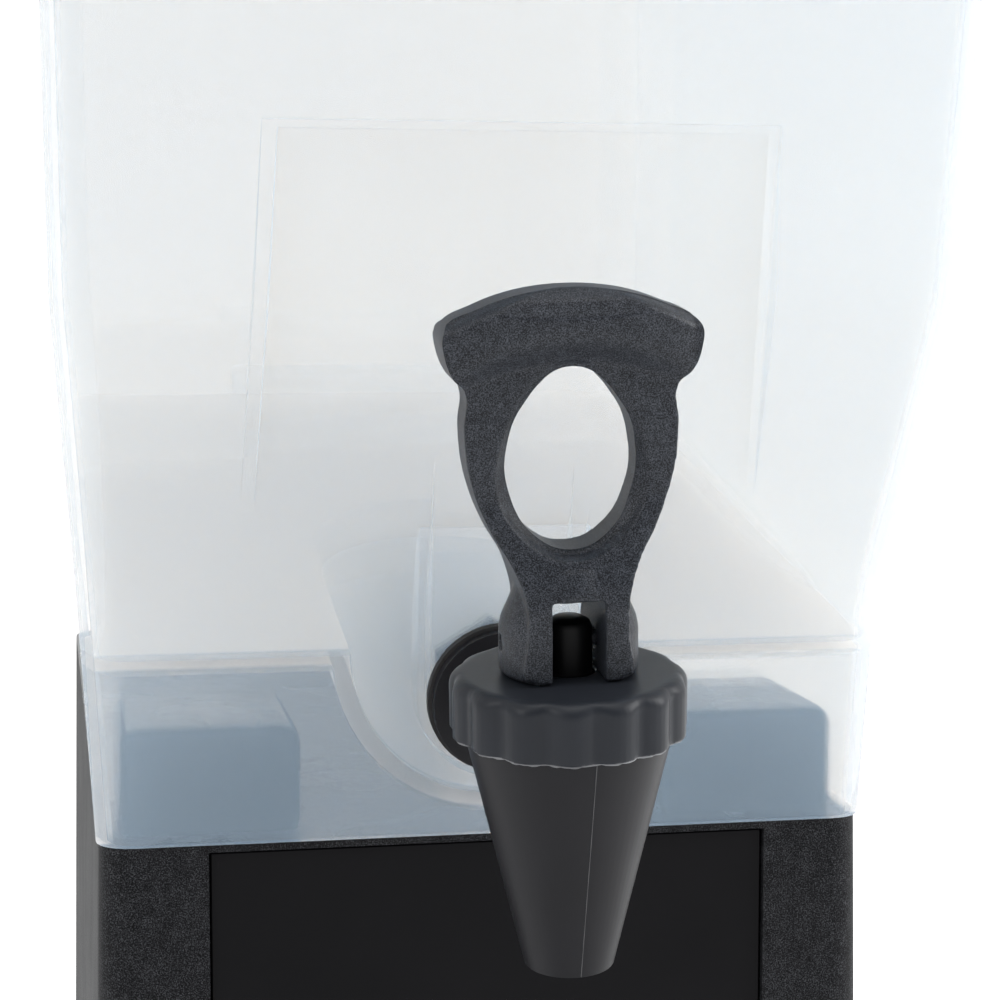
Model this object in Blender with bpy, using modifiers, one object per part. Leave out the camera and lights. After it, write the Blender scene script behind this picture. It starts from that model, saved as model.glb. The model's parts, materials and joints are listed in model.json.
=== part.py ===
"""Slim gravity-fed drink dispenser: a milky tank with a push tap, standing on a black cup-height base.

Metres, +Z up.  The front (tap side) faces -Y, X is the width and the object is centred on X and Y,
with Z = 0 under its feet.  Every sub-part is one named object with its own material.
"""
import math

import bmesh
import bpy
from mathutils import Matrix, Vector

MM = 0.001

# ---- driving dimensions ------------------------------------------------------------------------
BASE_TOP = 226 * MM            # height of the deck's front edge, which the tank stands on
FOOT_FRONT = -140 * MM         # depth positions are counted back from the base's front face ...
LID_REAR = 262 * MM            # ... and moved by DEPTH_SHIFT so that the whole object is centred
DEPTH_SHIFT = -(FOOT_FRONT + LID_REAR) / 2
BASE_REAR = 250.5 * MM
DECK_SLOPE = math.tan(math.radians(2.5))      # the deck falls towards the tap
GAP = 0.3 * MM                                # air between separate pieces that touch
WALL = 2.8 * MM                               # tank wall
SHELL = 3.0 * MM                              # base wall

# tank outline from the deck up: height above the deck front, depth of the front wall, half width
TANK_PROFILE = [(0, -4.7, 85.8), (51, -6.7, 89.0), (118, -38.0, 93.8), (290, -68.2, 95.9)]
TANK_REAR = [(0, 243.0), (90, 246.4), (290, 252.0)]
TANK_TOP = 290 * MM
TANK_CORNER = 8 * MM
FLOOR_TOP = 41 * MM            # raised floor at the front, above the deck
FLOOR_SLOPE = 45.0 / 240.0     # the floor rises towards the rear, so that the last of the drink runs out
FLOOR_THICK = 3.2 * MM
SUMP_R_OUT = 35 * MM           # basin behind the tap, a half-round trough sunk in the floor
SUMP_R_IN = 31 * MM
SUMP_END = 53 * MM             # where its rounded rear end begins

# tap: shank axis meets the tap's own axis at TAP_CENTRE; both lean with the tank's tap pad
TAP_CENTRE = Vector((0, -80.6 * MM, 23.15 * MM))
TAP_LEAN = math.radians(7.8)
TAP_CLOCK = math.radians(-2.0)
PAD_FACE = 67.5 * MM           # distance from the tap's axis back to the pad it is screwed against
PAD_R = 18.3 * MM
SHANK_R = 9.5 * MM
CONE_TOP_Z = 14.9 * MM
FLANGE_R = 15.5 * MM
BONNET_TOP_Z = 26.4 * MM
BONNET_R = 22.1 * MM
FLUTES = 15
FLUTE_DEPTH = 1.4 * MM
FLUTE_TURN = math.radians(-4.7)
PIN_Z = 32.4 * MM              # handle pin above the shank axis
PIN_R = 1.5 * MM
HEEL_FRONT = 9.8 * MM          # pin forward to the heel's flat front, the lever arm that lifts the stem


def remove_start_objects():
    for obj in list(bpy.data.objects):
        bpy.data.objects.remove(obj, do_unlink=True)


def new_collection(name):
    collection = bpy.data.collections.new(name)
    bpy.context.scene.collection.children.link(collection)
    return collection


remove_start_objects()
PARTS = new_collection("drink_dispenser")
CUTTERS = new_collection("cutters")


def material(name, color, roughness, metallic=0.0, alpha=1.0):
    mat = bpy.data.materials.new(name)
    mat.use_nodes = True
    shader = mat.node_tree.nodes["Principled BSDF"]
    shader.inputs["Base Color"].default_value = (*color, 1.0)
    shader.inputs["Roughness"].default_value = roughness
    shader.inputs["Metallic"].default_value = metallic
    shader.inputs["Alpha"].default_value = alpha
    mat.diffuse_color = (*color, alpha)
    return mat


# ---- general helpers ---------------------------------------------------------------------------
def place(depth, height):
    """World Y and Z of a depth behind the base's front face and a height above the deck front."""
    return depth + DEPTH_SHIFT, height + BASE_TOP


def deck_height(depth):
    return max(depth, 0) * DECK_SLOPE


def add_mesh(name, bm, mat=None, collection=None):
    mesh = bpy.data.meshes.new(name)
    bmesh.ops.recalc_face_normals(bm, faces=bm.faces)
    bm.to_mesh(mesh)
    bm.free()
    obj = bpy.data.objects.new(name, mesh)
    (collection or PARTS).objects.link(obj)
    if mat:
        obj.data.materials.append(mat)
    return obj


def as_cutter(obj):
    for collection in list(obj.users_collection):
        collection.objects.unlink(obj)
    CUTTERS.objects.link(obj)
    obj.hide_render = True
    obj.display_type = "WIRE"
    return obj


def boolean(obj, tool, operation):
    as_cutter(tool)
    modifier = obj.modifiers.new(operation.lower() + "_" + tool.name, "BOOLEAN")
    modifier.operation = operation
    modifier.solver = "EXACT"
    modifier.object = tool
    return obj


def cut(obj, tool):
    return boolean(obj, tool, "DIFFERENCE")


def join(obj, tool):
    return boolean(obj, tool, "UNION")


def bevel(obj, width, segments=2, angle=40):
    modifier = obj.modifiers.new("bevel", "BEVEL")
    modifier.width = width
    modifier.segments = segments
    modifier.limit_method = "ANGLE"
    modifier.angle_limit = math.radians(angle)
    return obj


def box(name, x_range, depth_range, z_range, mat=None, world_z=False):
    """Upright box; depths and heights as in place(), or plain world heights with world_z."""
    bm = bmesh.new()
    bmesh.ops.create_cube(bm, size=1.0)
    low = Vector((x_range[0], depth_range[0] + DEPTH_SHIFT, z_range[0]))
    high = Vector((x_range[1], depth_range[1] + DEPTH_SHIFT, z_range[1]))
    if not world_z:
        low.z += BASE_TOP
        high.z += BASE_TOP
    for vert in bm.verts:
        for axis in range(3):
            vert.co[axis] = high[axis] if vert.co[axis] > 0 else low[axis]
    return add_mesh(name, bm, mat)


def rounded_outline(half_width, y_front, y_rear, radius, steps=6):
    """Rectangle in plan with round corners, as (x, y) points in order."""
    centres = [(half_width - radius, y_rear - radius, 0), (-half_width + radius, y_rear - radius, 90),
               (-half_width + radius, y_front + radius, 180), (half_width - radius, y_front + radius, 270)]
    points = []
    for cx, cy, start in centres:
        for step in range(steps + 1):
            angle = math.radians(start + 90 * step / steps)
            points.append((cx + radius * math.cos(angle), cy + radius * math.sin(angle)))
    return points


def loft(name, sections, mat=None):
    """Closed solid through rings of points that all have the same count."""
    bm = bmesh.new()
    rings = [[bm.verts.new(point) for point in section] for section in sections]
    for lower, upper in zip(rings, rings[1:]):
        for i in range(len(lower)):
            j = (i + 1) % len(lower)
            bm.faces.new((lower[i], lower[j], upper[j], upper[i]))
    bm.faces.new(list(reversed(rings[0])))
    bm.faces.new(rings[-1])
    return add_mesh(name, bm, mat)


def plan_loft(name, levels, mat=None, flare=0.0):
    """Loft of rounded rectangles; a level is (height(depth), half width, front, rear, radius).
    Flare is how much wider each one is at its rear than at its front, as a share."""
    sections = []
    for height, half_width, front, rear, radius in levels:
        ring = []
        for x, depth in rounded_outline(half_width, front, rear, radius):
            y, z = place(depth, height(depth) if callable(height) else height)
            ring.append((x * (1 + flare * (depth - front) / (rear - front)), y, z))
        sections.append(ring)
    return loft(name, sections, mat)


def turned(name, profile, mat=None, steps=48):
    """Screw modifier about Z; the profile's outer side runs from the top down."""
    bm = bmesh.new()
    verts = [bm.verts.new((radius, 0, height)) for radius, height in profile]
    for a, b in zip(verts, verts[1:]):
        bm.edges.new((a, b))
    mesh = bpy.data.meshes.new(name)
    bm.to_mesh(mesh)
    bm.free()
    obj = bpy.data.objects.new(name, mesh)
    PARTS.objects.link(obj)
    if mat:
        mesh.materials.append(mat)
    screw = obj.modifiers.new("turn", "SCREW")
    screw.steps = steps
    screw.render_steps = steps
    screw.use_merge_vertices = True
    screw.merge_threshold = 1e-5
    return obj


def mm_profile(*points):
    return [(radius * MM, height * MM) for radius, height in points]


def cylinder(name, radius, length, mat=None, segments=48):
    """Cylinder standing on its own origin, along +Z."""
    bm = bmesh.new()
    bmesh.ops.create_cone(bm, cap_ends=True, segments=segments, radius1=radius, radius2=radius, depth=length)
    bmesh.ops.translate(bm, verts=bm.verts, vec=(0, 0, length / 2))
    return add_mesh(name, bm, mat)


def outline_solid(name, points, low, high, smooth=True):
    """2D outline in X-Z, extruded along Y from low to high and turned into a mesh."""
    curve = bpy.data.curves.new(name + "_outline", "CURVE")
    curve.dimensions = "2D"
    curve.fill_mode = "BOTH"
    curve.extrude = (high - low) / 2
    curve.resolution_u = 6
    if smooth:
        spline = curve.splines.new("BEZIER")
        spline.bezier_points.add(len(points) - 1)
        for knot, (x, z) in zip(spline.bezier_points, points):
            knot.co = (x, z, 0)
            knot.handle_left_type = knot.handle_right_type = "AUTO"
    else:
        spline = curve.splines.new("POLY")
        spline.points.add(len(points) - 1)
        for knot, (x, z) in zip(spline.points, points):
            knot.co = (x, z, 0, 1)
    spline.use_cyclic_u = True
    drawn = bpy.data.objects.new(name + "_outline", curve)
    bpy.context.scene.collection.objects.link(drawn)
    bpy.context.view_layer.update()
    mesh = bpy.data.meshes.new_from_object(drawn.evaluated_get(bpy.context.evaluated_depsgraph_get()))
    bpy.data.objects.remove(drawn, do_unlink=True)
    bm = bmesh.new()
    bm.from_mesh(mesh)
    bmesh.ops.remove_doubles(bm, verts=bm.verts, dist=1e-6)
    # the curve's flat X-Y sheet stands up: its Y becomes Z and its thickness lies along Y
    turn = Matrix.Rotation(math.radians(90), 4, "X")
    bmesh.ops.transform(bm, matrix=Matrix.Translation((0, (low + high) / 2, 0)) @ turn, verts=bm.verts)
    return add_mesh(name, bm)


def side_solid(name, points, half_width):
    """Side view outline of (y, z) points, extruded across X."""
    solid = outline_solid(name, points, -half_width, half_width, smooth=False)
    solid.data.transform(Matrix.Rotation(math.radians(90), 4, "Z"))
    return solid


def lying_cylinder(name, radius, y_low, y_high, segments=48):
    """Cylinder along Y."""
    tool = cylinder(name, radius, y_high - y_low, segments=segments)
    tool.data.transform(Matrix.Translation((0, y_low, 0)) @ Matrix.Rotation(math.radians(-90), 4, "X"))
    return tool


def cross_cylinder(name, radius, half_length, segments=24):
    """Cylinder along X, centred."""
    tool = cylinder(name, radius, 2 * half_length, segments=segments)
    tool.data.transform(Matrix.Rotation(math.radians(90), 4, "Y") @ Matrix.Translation((0, 0, -half_length)))
    return tool


# ---- base --------------------------------------------------------------------------------------
FOOT_TOP = 28 * MM             # world heights of the low platform under the cup
FOOT_BOTTOM = 3.2 * MM
TOWER_BOTTOM = FOOT_TOP + GAP - BASE_TOP
TOWER_FRONT = -3.5 * MM
TOWER_HALF_TOP = 85.3 * MM
TOWER_HALF_BOTTOM = 88.8 * MM
TOWER_FLARE = 0.036            # widening of the tower towards its rear
PANEL_HALF = 62 * MM
PANEL_TOP = -1.6 * MM
PANEL_RECESS = 1.2 * MM
PANEL_THICK = 2.0 * MM
FRONT_WALL = 6.5 * MM
LIP_TOP = 20 * MM
LUG_X = (41 * MM, 81 * MM)
LUG_DEPTH = (5 * MM, 52 * MM)
LUG_TOP = 24 * MM
TRAY_HALF = 72 * MM
TRAY_DEPTH = (-132 * MM, -12 * MM)
TRAY_SEAT = 12 * MM
FOOT_HALF = 94.5 * MM
FOOT_REAR = 252 * MM


def make_base_housing(mat):
    housing = plan_loft("base_housing", [
        (TOWER_BOTTOM, TOWER_HALF_BOTTOM, TOWER_FRONT, BASE_REAR, 9 * MM),
        (deck_height, TOWER_HALF_TOP, TOWER_FRONT, BASE_REAR, TANK_CORNER)], mat, TOWER_FLARE)
    lip_low = deck_height(BASE_REAR) - 8 * MM
    lip_half = TOWER_HALF_TOP - TANK_CORNER
    lip = plan_loft("rear_lip", [
        (lip_low, lip_half, BASE_REAR - SHELL, BASE_REAR - GAP, 1.2 * MM),
        (LIP_TOP, lip_half - 4 * MM, BASE_REAR - SHELL, BASE_REAR - GAP, 1.2 * MM)])
    join(housing, lip)
    for side, name in ((1, "lug_right"), (-1, "lug_left")):
        x_range = sorted((side * LUG_X[0], side * LUG_X[1]))
        lug = box(name, x_range, LUG_DEPTH, (-1.5 * MM, LUG_TOP))
        join(housing, bevel(lug, 4 * MM, 3))
    hollow = plan_loft("tower_hollow", [
        (TOWER_BOTTOM - 5 * MM, TOWER_HALF_BOTTOM - SHELL, TOWER_FRONT + FRONT_WALL, BASE_REAR - SHELL, 6 * MM),
        (lambda depth: deck_height(depth) - SHELL, TOWER_HALF_TOP - SHELL, TOWER_FRONT + FRONT_WALL,
         BASE_REAR - SHELL, 5 * MM)], flare=TOWER_FLARE)
    cut(housing, hollow)
    pocket_back = TOWER_FRONT + PANEL_RECESS + PANEL_THICK + GAP
    cut(housing, box("panel_pocket", (-PANEL_HALF, PANEL_HALF), (-20 * MM, pocket_back),
                     (TOWER_BOTTOM - 1 * MM, PANEL_TOP)))
    return housing


def make_front_panel(mat):
    edge = PANEL_HALF - GAP
    front = TOWER_FRONT + PANEL_RECESS
    panel = box("front_panel", (-edge, edge), (front, front + PANEL_THICK),
                (TOWER_BOTTOM + GAP, PANEL_TOP - GAP), mat)
    return bevel(panel, 0.4 * MM, 2)


def make_base_foot(mat):
    def level(height):
        return height - BASE_TOP
    foot = plan_loft("base_foot", [
        (level(FOOT_BOTTOM), FOOT_HALF, FOOT_FRONT, FOOT_REAR, 16 * MM),
        (level(FOOT_TOP - 3 * MM), FOOT_HALF, FOOT_FRONT, FOOT_REAR, 16 * MM),
        (level(FOOT_TOP), FOOT_HALF - 2 * MM, FOOT_FRONT + 2 * MM, FOOT_REAR - 2 * MM, 14 * MM)], mat)
    cut(foot, plan_loft("foot_hollow", [
        (level(0), FOOT_HALF - SHELL, FOOT_FRONT + SHELL, FOOT_REAR - SHELL, 13 * MM),
        (level(FOOT_TOP - SHELL), FOOT_HALF - SHELL - 1 * MM, FOOT_FRONT + SHELL + 1 * MM,
         FOOT_REAR - SHELL - 1 * MM, 13 * MM)]))
    wall = 3 * MM
    join(foot, box("tray_tub", (-TRAY_HALF - wall, TRAY_HALF + wall),
                   (TRAY_DEPTH[0] - wall, TRAY_DEPTH[1] + wall), (TRAY_SEAT - wall, FOOT_TOP - 1 * MM),
                   world_z=True))
    for i, (x, y) in enumerate(foot_corners()):
        post = cylinder("foot_post_%d" % (i + 1), 10 * MM, FOOT_TOP - 1 * MM - FOOT_BOTTOM, segments=32)
        post.location = (x, y, FOOT_BOTTOM)
        join(foot, post)
    cut(foot, box("tray_recess", (-TRAY_HALF, TRAY_HALF), TRAY_DEPTH, (TRAY_SEAT, FOOT_TOP + 5 * MM),
                  world_z=True))
    return foot


def foot_corners():
    x = FOOT_HALF - 14 * MM
    front = FOOT_FRONT + DEPTH_SHIFT + 17 * MM
    rear = FOOT_REAR + DEPTH_SHIFT - 17 * MM
    return [(-x, front), (x, front), (-x, rear), (x, rear)]


def make_rubber_feet(mat):
    for i, (x, y) in enumerate(foot_corners()):
        height = FOOT_BOTTOM - GAP
        pad = turned("rubber_foot_%d" % (i + 1), [(0, height), (9 * MM, height), (9 * MM, 0.8 * MM),
                                                  (8.2 * MM, 0), (0, 0)], mat, 32)
        pad.location = (x, y, 0)


def make_drip_tray(mat):
    side = TRAY_HALF - GAP
    front, rear = TRAY_DEPTH[0] + GAP, TRAY_DEPTH[1] - GAP
    bottom = TRAY_SEAT + GAP
    top = FOOT_TOP + 1.2 * MM
    tray = bevel(box("drip_tray", (-side, side), (front, rear), (bottom, top), mat, world_z=True), 1 * MM)
    wall, ledge = 2 * MM, 4.5 * MM
    cut(tray, box("tray_mouth", (-side + wall, side - wall), (front + wall, rear - wall),
                  (top - 3 * MM, top + 2 * MM), world_z=True))
    cut(tray, box("tray_well", (-side + ledge, side - ledge), (front + ledge, rear - ledge),
                  (bottom + wall, top + 2 * MM), world_z=True))
    return tray


def make_drip_grate(mat):
    side = TRAY_HALF - GAP - 2.4 * MM
    front, rear = TRAY_DEPTH[0] + 2.7 * MM, TRAY_DEPTH[1] - 2.7 * MM
    top = FOOT_TOP + 1.0 * MM
    grate = box("drip_grate", (-side, side), (front, rear), (top - 2.5 * MM, top), mat, world_z=True)
    slot = box("grate_slots", (-2 * MM, 2 * MM), (front + 9 * MM, rear - 9 * MM),
               (top - 5 * MM, top + 2 * MM), world_z=True)
    count = 13
    pitch = 10 * MM
    slot.data.transform(Matrix.Translation((-pitch * (count - 1) / 2, 0, 0)))
    array = slot.modifiers.new("row", "ARRAY")
    array.count = count
    array.use_relative_offset = False
    array.use_constant_offset = True
    array.constant_offset_displace = (pitch, 0, 0)
    cut(grate, slot)
    return grate


# ---- tank and lid ------------------------------------------------------------------------------
def interpolate(table, height):
    """Straight-line value from rows of (height, values...) in millimetres, returned in metres."""
    h = height / MM
    for low, high in zip(table, table[1:]):
        if h <= high[0] or high is table[-1]:
            t = (h - low[0]) / (high[0] - low[0])
            return [(a + (b - a) * t) * MM for a, b in zip(low[1:], high[1:])]
    return None


def tank_section(height):
    """Front depth, half width and rear depth, with the two bends of the front wall rounded."""
    soften = 5 * MM
    samples = [interpolate(TANK_PROFILE, height + k * soften) for k in (-1, -0.5, 0, 0.5, 1)]
    front, half = [sum(column) / len(samples) for column in zip(*samples)]
    return front, half, interpolate(TANK_REAR, height)[0]


TANK_LEVELS = [45, 49, 53, 57, 73, 110, 114, 118, 122, 126, 200]


def tank_shape(name, bottom, inset, top, mat=None):
    """Tank outline moved inwards by inset, from a sloping bottom up to a level top."""
    radius = TANK_CORNER - inset * 0.6
    front, half = interpolate(TANK_PROFILE, 0)
    rear = interpolate(TANK_REAR, 0)[0]
    levels = [(bottom, half - inset, front + inset, rear - inset, radius)]
    for height in [h * MM for h in TANK_LEVELS] + [top]:
        front, half, rear = tank_section(height)
        levels.append((height, half - inset, front + inset, rear - inset, radius))
    return plan_loft(name, levels, mat)


def tank_inside(name):
    """Everything within the tank's walls, from below the deck to above the rim."""
    inside = tank_shape(name, lambda depth: deck_height(depth) - 6 * MM, WALL, TANK_TOP + 3 * MM)
    return cut(inside, label_tool("label_backing", WALL, WALL, 8 * MM, 2 * MM))


def floor_height(depth):
    return FLOOR_TOP + FLOOR_SLOPE * depth


def floor_slab(name, low, high):
    """Block wider than the tank between two heights, either of which may follow the floor."""
    return plan_loft(name, [(height, 120 * MM, -90 * MM, 300 * MM, 5 * MM) for height in (low, high)])


def sump_tool(name, radius, front):
    """Capsule whose axis lies in the floor's plane, round at its rear end."""
    length = (SUMP_END - front) / math.cos(math.atan(FLOOR_SLOPE))
    end = [(radius * math.sin(math.radians(a)), radius * math.cos(math.radians(a)) + length)
           for a in range(0, 91, 9)]
    tool = turned(name, end + [(radius, 0), (0, 0)], None, 64)
    y, z = place(front, floor_height(front))
    lie_down = Matrix.Rotation(math.radians(-90) + math.atan(FLOOR_SLOPE), 4, "X")
    tool.matrix_world = Matrix.Translation((0, y, z)) @ lie_down
    return tool


def tap_frame():
    """World matrix whose Z is the tap's own axis and whose +Y runs back along the shank."""
    y, z = place(TAP_CENTRE.y, TAP_CENTRE.z)
    lean = Matrix.Rotation(TAP_LEAN, 4, "X") @ Matrix.Rotation(TAP_CLOCK, 4, "Y")
    return Matrix.Translation((TAP_CENTRE.x, y, z)) @ lean


def pad_frame():
    """The tap's frame without its small turn about the shank: the tank's pad stands upright."""
    y, z = place(TAP_CENTRE.y, TAP_CENTRE.z)
    return Matrix.Translation((TAP_CENTRE.x, y, z)) @ Matrix.Rotation(TAP_LEAN, 4, "X")


def pad_tool(name, radius, near, far, top):
    """U-shaped block around the shank hole, round below and straight above."""
    arc = [(radius * math.cos(a), radius * math.sin(a))
           for a in [math.radians(180 + 180 * i / 24) for i in range(25)]]
    points = arc + [(radius, top), (-radius, top)]
    tool = outline_solid(name, points, near, far, smooth=False)
    tool.matrix_world = pad_frame()
    return tool


# label flat: height, depth and half width of its lower and upper end
LABEL_LOW = (71 * MM, -16.3 * MM, 53.0 * MM)
LABEL_HIGH = (150 * MM, -41.8 * MM, 49.6 * MM)


def label_tool(name, grow_sides, inset, below, above):
    """Block in front of the flat, tilted label face, or in front of a plane inset behind it."""
    run = Vector((LABEL_HIGH[1] - LABEL_LOW[1], LABEL_HIGH[0] - LABEL_LOW[0])).normalized()
    forward = 14 * MM
    rings = []
    for (height, depth, half), grow in ((LABEL_LOW, -below), (LABEL_HIGH, above)):
        y, z = place(depth + run.x * grow + inset, height + run.y * grow)
        side = half + grow_sides
        rings.append([(-side, y - forward, z), (side, y - forward, z), (side, y, z), (-side, y, z)])
    return loft(name, rings)


def make_tank(mat):
    tank = tank_shape("tank", lambda depth: deck_height(depth) + GAP, 0, TANK_TOP, mat)
    rim_front, rim_half, rim_rear = tank_section(TANK_TOP)
    rim_out = 7 * MM
    rim = plan_loft("tank_rim", [
        (TANK_TOP - 4 * MM, rim_half + rim_out - 0.6 * MM, rim_front - rim_out + 0.6 * MM,
         rim_rear + rim_out - 0.6 * MM, 14 * MM),
        (TANK_TOP - 3.4 * MM, rim_half + rim_out, rim_front - rim_out, rim_rear + rim_out, 14 * MM),
        (TANK_TOP, rim_half + rim_out, rim_front - rim_out, rim_rear + rim_out, 14 * MM)])
    join(tank, rim)
    join(tank, pad_tool("pad_outer", PAD_R, PAD_FACE, PAD_FACE + 14 * MM, 56 * MM))
    cut(tank, label_tool("label_flat", 0, 0, 2 * MM, 0))
    cut(tank, cut(tank_inside("tank_cavity"), floor_slab("below_floor", -40 * MM, floor_height)))
    cut(tank, boolean(sump_tool("sump_hollow", SUMP_R_IN, -20 * MM), tank_inside("walls"), "INTERSECT"))
    pockets = cut(tank_inside("floor_pockets"), floor_slab(
        "above_pockets", lambda depth: floor_height(depth) - FLOOR_THICK, TANK_TOP + 10 * MM))
    cut(tank, cut(pockets, sump_tool("sump_outside", SUMP_R_OUT, -20 * MM)))
    cut(tank, pad_tool("pad_core", PAD_R - 3.3 * MM, PAD_FACE + 3.2 * MM, PAD_FACE + 24 * MM, 60 * MM))
    hole = lying_cylinder("shank_hole", SHANK_R + 0.3 * MM, PAD_FACE - 5 * MM, PAD_FACE + 8 * MM)
    hole.matrix_world = pad_frame()
    cut(tank, hole)
    return tank


def make_lid(mat):
    front, half, rear = tank_section(TANK_TOP)
    out = 7 * MM + 0.5 * MM
    wall = 2.5 * MM
    skirt = TANK_TOP - 9 * MM
    top = TANK_TOP + GAP + wall
    full = out + wall
    lid = plan_loft("lid", [
        (skirt, half + full, front - full, rear + full, 16 * MM),
        (top - 1.5 * MM, half + full, front - full, rear + full, 16 * MM),
        (top, half + full - 1.5 * MM, front - full + 1.5 * MM, rear + full - 1.5 * MM, 14.5 * MM)], mat)
    cut(lid, plan_loft("lid_hollow", [
        (skirt - 2 * MM, half + out, front - out, rear + out, 14 * MM),
        (top - wall, half + out, front - out, rear + out, 14 * MM)]))
    raised = top + 4 * MM
    edge = 12 * MM
    join(lid, plan_loft("lid_plateau", [
        (top - wall, half - edge, front + edge, rear - edge, 12 * MM),
        (raised - 1 * MM, half - edge - 2 * MM, front + edge + 2 * MM, rear - edge - 2 * MM, 11 * MM),
        (raised, half - edge - 3 * MM, front + edge + 3 * MM, rear - edge - 3 * MM, 10 * MM)]))
    cut(lid, plan_loft("plateau_hollow", [
        (top - wall - 1 * MM, half - edge - 4 * MM, front + edge + 4 * MM, rear - edge - 4 * MM, 9 * MM),
        (raised - wall, half - edge - 5 * MM, front + edge + 5 * MM, rear - edge - 5 * MM, 8 * MM)]))
    middle = (front + rear) / 2
    grip = box("lid_grip", (-32 * MM, 32 * MM), (middle - 6 * MM, middle + 6 * MM),
               (raised - 1 * MM, raised + 11 * MM))
    join(lid, bevel(grip, 3 * MM, 3))
    return lid


# ---- tap ---------------------------------------------------------------------------------------
def in_tap(obj):
    obj.matrix_world = tap_frame()
    return obj


def make_tap_body(mat):
    body = in_tap(turned("tap_body", mm_profile(
        (0, 24), (16, 24), (16, 14.9), (18.8, 14.9), (19.2, 14.4), (8.5, -30.8), (0, -30.8)), mat, 64))
    shank_end = PAD_FACE + 19 * MM
    join(body, in_tap(lying_cylinder("shank", SHANK_R, 6 * MM, shank_end)))
    flange_back = PAD_FACE - 2.5 * MM
    join(body, in_tap(lying_cylinder("shank_flange", FLANGE_R, flange_back - 2.8 * MM, flange_back)))
    cut(body, in_tap(turned("chamber", mm_profile(
        (0, 24.5), (13.3, 24.5), (13.3, 4), (11.4, -8.5), (6.6, -8.5), (7.0, -31.3), (0, -31.3)), None, 64)))
    cut(body, in_tap(lying_cylinder("shank_bore", 6.5 * MM, 0, shank_end + 2 * MM)))
    return body


def ring_in_tap(name, outer, inner, near, far, mat, segments=48):
    ring = in_tap(lying_cylinder(name, outer, near, far, segments))
    ring.data.materials.append(mat)
    cut(ring, in_tap(lying_cylinder(name + "_hole", inner, near - 2 * MM, far + 2 * MM)))
    return ring


def make_shank_hardware(rubber, plastic):
    inner_face = PAD_FACE + 3.2 * MM
    ring_in_tap("tap_outer_washer", FLANGE_R + 0.8 * MM, SHANK_R + 0.15 * MM, PAD_FACE - 2.4 * MM, PAD_FACE - 0.1 * MM,
                rubber)
    ring_in_tap("tap_inner_washer", 13.4 * MM, SHANK_R + 0.15 * MM, inner_face + 0.15 * MM,
                inner_face + 2.2 * MM, rubber)
    ring_in_tap("tap_shank_nut", 14.0 * MM, SHANK_R + 0.1 * MM, inner_face + 2.4 * MM, inner_face + 10.4 * MM,
                plastic, 6)


def fluted_ring(radius, depth, height, samples=8):
    """Circle with round ribs: the radius dips between one rib and the next."""
    count = FLUTES * samples
    ring = []
    for i in range(count):
        angle = 2 * math.pi * i / count
        dip = depth * (1 - abs(math.cos((angle - FLUTE_TURN) * FLUTES / 2)))
        ring.append(((radius - dip) * math.cos(angle), (radius - dip) * math.sin(angle), height))
    return ring


def make_tap_bonnet(mat):
    bottom = CONE_TOP_Z + GAP
    fillet = 2.8 * MM
    rows = [(BONNET_R, FLUTE_DEPTH, bottom), (BONNET_R, FLUTE_DEPTH, BONNET_TOP_Z - fillet)]
    for step in range(1, 6):
        angle = math.radians(90 * step / 5)
        rows.append((BONNET_R - fillet * (1 - math.cos(angle)), FLUTE_DEPTH * (1 - step / 5),
                     BONNET_TOP_Z - fillet + fillet * math.sin(angle)))
    bonnet = in_tap(loft("tap_bonnet", [fluted_ring(*row) for row in rows], mat))
    cut(bonnet, in_tap(turned("bonnet_bore", mm_profile(
        (0, 28), (4.9, 28), (4.9, 24.3), (16.3, 24.3), (16.3, 12), (0, 12)), None, 48)))
    return bonnet


def make_stem_parts(plastic, rubber, steel):
    stem = in_tap(turned("tap_stem", mm_profile(
        (0, 36.9), (2.6, 36.6), (3.9, 35.9), (4.4, 34.9), (4.4, 10), (3, 9), (3, -1.0), (7, -1.0),
        (7, -2.5), (2.5, -2.5), (2.5, -5.5), (0, -5.5)), plastic, 32))
    hole = cross_cylinder("stem_pin_hole", PIN_R + 0.05 * MM, 8 * MM)
    hole.matrix_world = pin_frame()
    cut(stem, hole)
    in_tap(turned("tap_seat_cup", mm_profile(
        (0, -5.8), (2.8, -5.8), (2.8, -2.8), (9.0, -2.8), (9.5, -3.3), (9.5, -6.8), (8.0, -8.2), (0, -8.2)),
        rubber, 40))
    make_spring(steel)
    pin = cross_cylinder("tap_pin", PIN_R, 12.2 * MM)
    pin.data.materials.append(plastic)
    pin.matrix_world = pin_frame()


def pin_frame():
    return tap_frame() @ Matrix.Translation((0, 0, PIN_Z))


def make_spring(mat):
    """Return spring round the stem, drawn as a helix between the stem's collar and the bonnet."""
    turns, per_turn = 6, 12
    low, high, radius, wire = -0.3 * MM, 23.6 * MM, 6.2 * MM, 0.55 * MM
    curve = bpy.data.curves.new("tap_spring_wire", "CURVE")
    curve.dimensions = "3D"
    curve.bevel_depth = wire
    curve.bevel_resolution = 2
    curve.use_fill_caps = True
    spline = curve.splines.new("POLY")
    count = turns * per_turn + 1
    spline.points.add(count - 1)
    for i, knot in enumerate(spline.points):
        angle = 2 * math.pi * i / per_turn
        height = low + (high - low) * i / (count - 1)
        knot.co = (radius * math.cos(angle), radius * math.sin(angle), height, 1)
    spring = bpy.data.objects.new("tap_spring", curve)
    curve.materials.append(mat)
    PARTS.objects.link(spring)
    spring.matrix_world = tap_frame()
    return spring


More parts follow.
